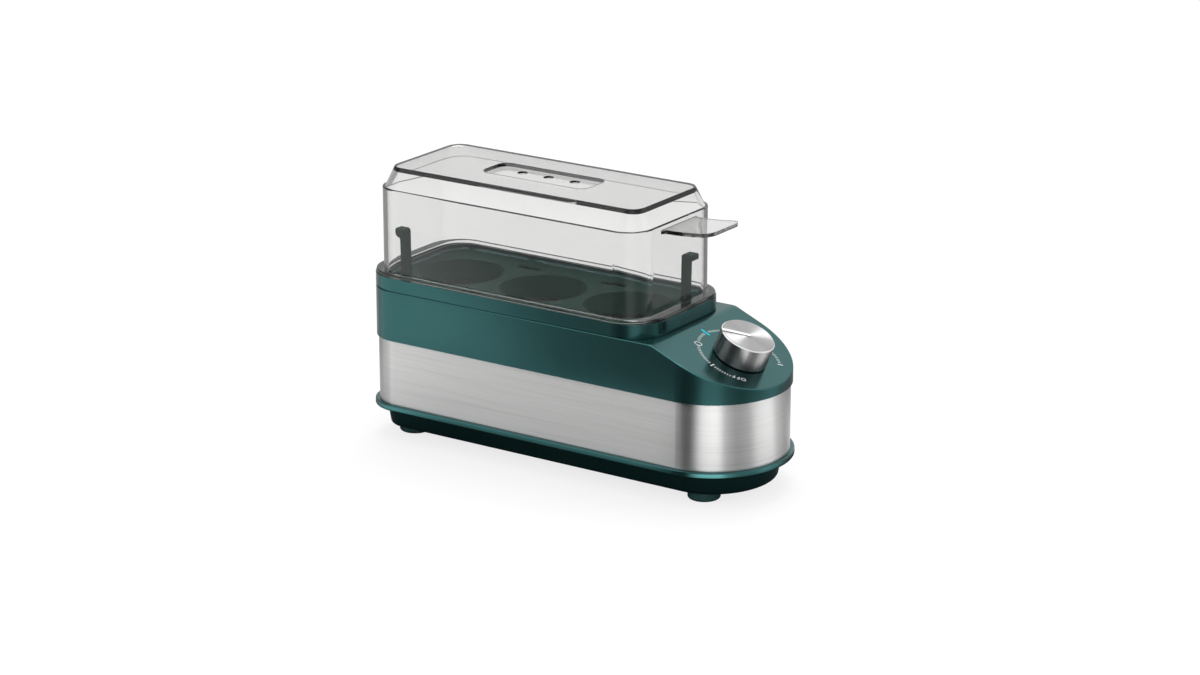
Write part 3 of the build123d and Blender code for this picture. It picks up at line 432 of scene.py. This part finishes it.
def ink_piece(name, outlines, material):
    """Prints closed outlines, each with an optional inner edge, as thin raised ink on the panel."""
    verts = []
    faces = []
    for outer, inner in outlines:
        count = len(outer)
        base = len(verts)
        for ring in (outer,) if inner is None else (outer, inner):
            for lift in (-INK_SINK, INK_HEIGHT):
                verts.extend(panel_point(reach, angle, lift) for reach, angle in ring)
        low, high, low_in, high_in = (base + level * count for level in range(4))
        for step in range(count):
            after = (step + 1) % count
            faces.append((low + step, low + after, high + after, high + step))
            if inner is not None:
                faces.append((low_in + after, low_in + step, high_in + step, high_in + after))
                faces.append((high + step, high + after, high_in + after, high_in + step))
                faces.append((low + after, low + step, low_in + step, low_in + after))
        if inner is None:
            faces.append(tuple(range(high, high + count)))
            faces.append(tuple(range(low + count - 1, low - 1, -1)))
    mesh = bpy.data.meshes.new(name)
    mesh.from_pydata(verts, [], faces)
    mesh.materials.append(material)
    piece = bpy.data.objects.new(name, mesh)
    scene.collection.objects.link(piece)
    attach(piece, "base")


def polar(along, across):
    """Reach and angle of a point given along a radius and across it."""
    return hypot(along, across), degrees(atan2(across, along))


def bar(reach_in, reach_out, angle, width):
    """Outline of a straight bar along a radius."""
    half = width / 2
    corners = ((reach_in, -half), (reach_out, -half), (reach_out, half), (reach_in, half))
    return [(reach, angle + off) for reach, off in (polar(*corner) for corner in corners)], None


white_ink = ink("white_ink", (0.85, 0.86, 0.86), 0.2)
cyan_ink = ink("cyan_ink", (0.002, 0.68, 0.88), 0.1)

TICK_FIRST = -69.0
TICK_PITCH = 3.7
TICK_COUNT = 66
TICK_INNER = 18.9 * MM
TICK_OUTER = 20.4 * MM
TICK_WIDTH = 0.29 * MM
LONG_TICKS = (-96.5, -314.5)
LONG_TICK_INNER = 18.3 * MM
LONG_TICK_OUTER = 21.0 * MM
LONG_TICK_WIDTH = 0.5 * MM
LONG_TICK_ROOM = 2.4  # angle each way that is kept free of ticks, and so for the two signs
EGG_ANGLE = -145.5
EGG_ROOM = 6.0
NOW_ANGLE = -181.5
NOW_ROOM = 2.6
NOW_INNER = 17.6 * MM
NOW_OUTER = 22.4 * MM
NOW_WIDTH = 0.95 * MM

rooms = [(mark, LONG_TICK_ROOM) for mark in LONG_TICKS]
rooms += [(EGG_ANGLE, EGG_ROOM), (NOW_ANGLE, NOW_ROOM)]
tick_angles = [TICK_FIRST - step * TICK_PITCH for step in range(TICK_COUNT)]
ticks = [
    bar(TICK_INNER, TICK_OUTER, angle, TICK_WIDTH)
    for angle in tick_angles
    if all(abs(angle - mark) > room for mark, room in rooms)
]
ticks += [bar(LONG_TICK_INNER, LONG_TICK_OUTER, mark, LONG_TICK_WIDTH) for mark in LONG_TICKS]
ink_piece("dial_ticks", ticks, white_ink)

EGG_STEPS = 40
EGG_REACH = 19.6 * MM
EGG_LENGTH = 1.9 * MM
EGG_WIDTH = 1.45 * MM
EGG_LINE = 0.36 * MM
EGG_POINT = 0.14  # share by which the outer end is narrower, and the inner end wider


def egg_ring(shrink):
    ring = []
    for step in range(EGG_STEPS):
        turn = 2 * pi * step / EGG_STEPS
        along = (EGG_LENGTH - shrink) * cos(turn)
        across = (EGG_WIDTH - shrink) * sin(turn) * (1 - EGG_POINT * cos(turn))
        reach, off = polar(EGG_REACH + along, across)
        ring.append((reach, EGG_ANGLE + off))
    return ring


ink_piece("dial_egg", [(egg_ring(0), egg_ring(EGG_LINE))], white_ink)
ink_piece("dial_bar", [bar(NOW_INNER, NOW_OUTER, NOW_ANGLE, NOW_WIDTH)], cyan_ink)

LETTER_SIZE = 3.3 * MM
LETTER_REACH = 17.9 * MM
LETTER_THINNING = 0.01 * MM
LETTER_ANGLES = (("O", -50.4), ("F", -57.6), ("F", -63.9))
for index, (letter, angle) in enumerate(LETTER_ANGLES):
    name = "dial_letter_%d" % index
    text = bpy.data.curves.new(name, "FONT")
    text.body = letter
    text.size = LETTER_SIZE
    text.align_x = "CENTER"
    text.extrude = INK_HEIGHT
    text.offset = -LETTER_THINNING
    text.materials.append(white_ink)
    sign = bpy.data.objects.new(name, text)
    upward = panel_direction(angle)
    onward = upward.cross(knob_axis)
    place = Matrix((onward, upward, knob_axis)).transposed().to_4x4()
    place.translation = panel_point(LETTER_REACH, angle, 0)
    sign.matrix_world = place
    scene.collection.objects.link(sign)
    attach(sign, "base")


# Floor, light and camera

FLOOR_HALF = 9.0
FLOOR_DROP = 0.1 * MM
FLOOR_GLOW = 0.79
PAPER_FIBRE_SCALE = 900.0
PAPER_TONES = (grey(0.19), grey(0.21))
PAPER_POLISHED = grey(0.07)

# A studio all round, given as bearing and level: soft boxes with darker gaps between them. Polished
# surfaces also show its glow on the floor, in a near and a far ring round the object.
STUDIO = (
    (-180, 0.5), (-152, 0.4), (-135, 1.5), (-119, 1.1), (-106, 0.1), (-88, 0.15), (-66, 1.5),
    (-53, 1.6), (-38, 0.8), (-18, 0.6), (4, 0.7), (22, 1.3), (38, 1.35), (56, 0.8), (76, 0.5),
    (98, 1.05), (112, 1.0), (124, 0.75), (145, 0.45), (180, 0.4),
)
NEAR_FLOOR = (
    (-180, 1.0), (-156, 2.5), (-138, 2.2), (-117, 2.2), (-106, 0.0), (-91, 0.0), (-71, 6.0),
    (-50, 7.0), (-38, 2.6), (-25, 1.5), (-10, 1.9), (8, 4.8), (28, 4.8), (44, 2.2), (60, 1.2),
    (90, 1.4), (120, 1.9), (150, 1.6), (180, 1.0),
)
FAR_FLOOR = (
    (-180, 0.5), (-165, 1.0), (-141, 1.1), (-131, 0.24), (-118, 0.1), (-100, 0.0), (-84, 0.05),
    (-66, 0.65), (-53, 0.7), (-36, 0.3), (-18, 0.15), (4, 0.3), (33, 0.8), (52, 0.4), (76, 0.15),
    (110, 0.3), (150, 0.5), (180, 0.5),
)
CEILING = 1.1
CEILING_RISE = (0.55, 0.85)  # heights of a direction between which the walls turn to ceiling

# Distances from the object's middle line, which ends in the middle of the nose
NOSE_MIDDLE = (0.07, 0.0, 0.0)
NEAR_RISE = (0.07, 0.09)
NEAR_FADE = (0.115, 0.15)
FAR_RISE = (0.14, 0.18)


def ring_of_light(tree, place, levels):
    """The level at the bearing of a point or direction."""
    parts = node(tree, "SeparateXYZ", {0: place}).outputs
    bearing = scalar_math(tree, "ARCTAN2", parts["Y"], parts["X"])
    ramp = node(tree, "ValToRGB", {"Fac": spread(tree, bearing, *UNIT_RANGE, (-pi, pi))})
    ramp.color_ramp.interpolation = "EASE"
    stops = ramp.color_ramp.elements
    stops.remove(stops[1])
    for index, (heading, level) in enumerate(levels):
        share = (heading + 180) / 360
        spot = stops[0] if index == 0 else stops.new(share)
        spot.position = share
        spot.color = rgba(grey(level))
    return ramp.outputs["Color"]


def floor_material():
    """Grey paper that is lit up to white, with the studio's glow on it away from the object."""
    material, tree, surface, place = shader("floor_paper")
    fibre = noise(tree, place, PAPER_FIBRE_SCALE, detail=3.0)
    from_nose = vector_math(tree, "SUBTRACT", place, NOSE_MIDDLE)
    offset = vector_math(tree, "SUBTRACT", vector_math(tree, "ABSOLUTE", place), NOSE_MIDDLE)
    outside = vector_math(tree, "MAXIMUM", offset, (0.0, 0.0, 0.0))
    away = vector_math(tree, "LENGTH", outside, output="Value")

    # Rays off a polished surface show the rings of glow
    path = node(tree, "LightPath").outputs
    through = path["Is Transmission Ray"]
    polished = scalar_math(tree, "SUBTRACT", path["Is Glossy Ray"], through, clamp=True)
    near_rise = spread(tree, away, *UNIT_RANGE, NEAR_RISE)
    near = scalar_math(tree, "MULTIPLY", near_rise, spread(tree, away, 1.0, 0.0, NEAR_FADE))
    near_glow = scalar_math(tree, "MULTIPLY", near, ring_of_light(tree, from_nose, NEAR_FLOOR))
    far = spread(tree, away, *UNIT_RANGE, FAR_RISE)
    far_levels = ring_of_light(tree, from_nose, FAR_FLOOR)
    both_glow = scalar_math(tree, "MULTIPLY_ADD", far, far_levels, near_glow)
    glow = scalar_math(tree, "MULTIPLY", polished, both_glow)

    # Seen directly, or straight through the clear lid, the paper is white
    straight = scalar_math(tree, "SUBTRACT", through, path["Glossy Depth"], clamp=True)
    seen = scalar_math(tree, "MAXIMUM", path["Is Camera Ray"], straight)
    paper = blend(tree, fibre, *PAPER_TONES)
    feed(
        tree, surface,
        Base_Color=blend(tree, polished, paper, PAPER_POLISHED),
        Roughness=0.9,
        Specular_IOR_Level=0.1,
        Emission_Color=rgba(grey(1.0)),
        Emission_Strength=scalar_math(tree, "MULTIPLY_ADD", seen, FLOOR_GLOW, glow),
    )
    return material


floor_corners = ((-1, -1), (1, -1), (1, 1), (-1, 1))
floor_mesh = bpy.data.meshes.new("floor")
floor_mesh.from_pydata(
    [(x * FLOOR_HALF, y * FLOOR_HALF, -FLOOR_DROP) for x, y in floor_corners],
    [], [(0, 1, 2, 3)],
)
floor_mesh.materials.append(floor_material())
floor = bpy.data.objects.new("floor", floor_mesh)
scene.collection.objects.link(floor)

world = bpy.data.worlds.new("studio")
world.use_nodes = True
tree = world.node_tree
direction = node(tree, "TexCoord").outputs["Generated"]
height = node(tree, "SeparateXYZ", {0: direction}).outputs["Z"]
rise = spread(tree, height, *UNIT_RANGE, CEILING_RISE)
walls = ring_of_light(tree, direction, STUDIO)
sky = blend(tree, rise, walls, grey(CEILING))
feed(tree, tree.nodes["Background"], Color=sky, Strength=1.0)
scene.world = world

KEY_ENERGY = 1.0
KEY_ANGLE = radians(30)
KEY_DIRECTION = Vector((-0.16, 0.34, 0.93))

key_data = bpy.data.lights.new("key", "SUN")
key_data.energy = KEY_ENERGY
key_data.angle = KEY_ANGLE
key = bpy.data.objects.new("key", key_data)
key.rotation_euler = KEY_DIRECTION.to_track_quat("Z", "Y").to_euler()
scene.collection.objects.link(key)

CAMERA_AZIMUTH = radians(34.1)
CAMERA_ELEVATION = radians(17.67)
CAMERA_DISTANCE = 1606.5 * MM
CAMERA_TARGET = Vector((6.70, 0, 57.32)) * MM
CAMERA_LENS = 105.45
CAMERA_SENSOR = 36.0

camera_data = bpy.data.cameras.new("camera")
camera_data.lens = CAMERA_LENS
camera_data.sensor_width = CAMERA_SENSOR
camera = bpy.data.objects.new("camera", camera_data)
back = Vector((
    sin(CAMERA_AZIMUTH) * cos(CAMERA_ELEVATION),
    -cos(CAMERA_AZIMUTH) * cos(CAMERA_ELEVATION),
    sin(CAMERA_ELEVATION),
))
camera.location = CAMERA_TARGET + CAMERA_DISTANCE * back
camera.rotation_euler = back.to_track_quat("Z", "Y").to_euler()
scene.collection.objects.link(camera)
scene.camera = camera
scene.view_settings.view_transform = "Standard"
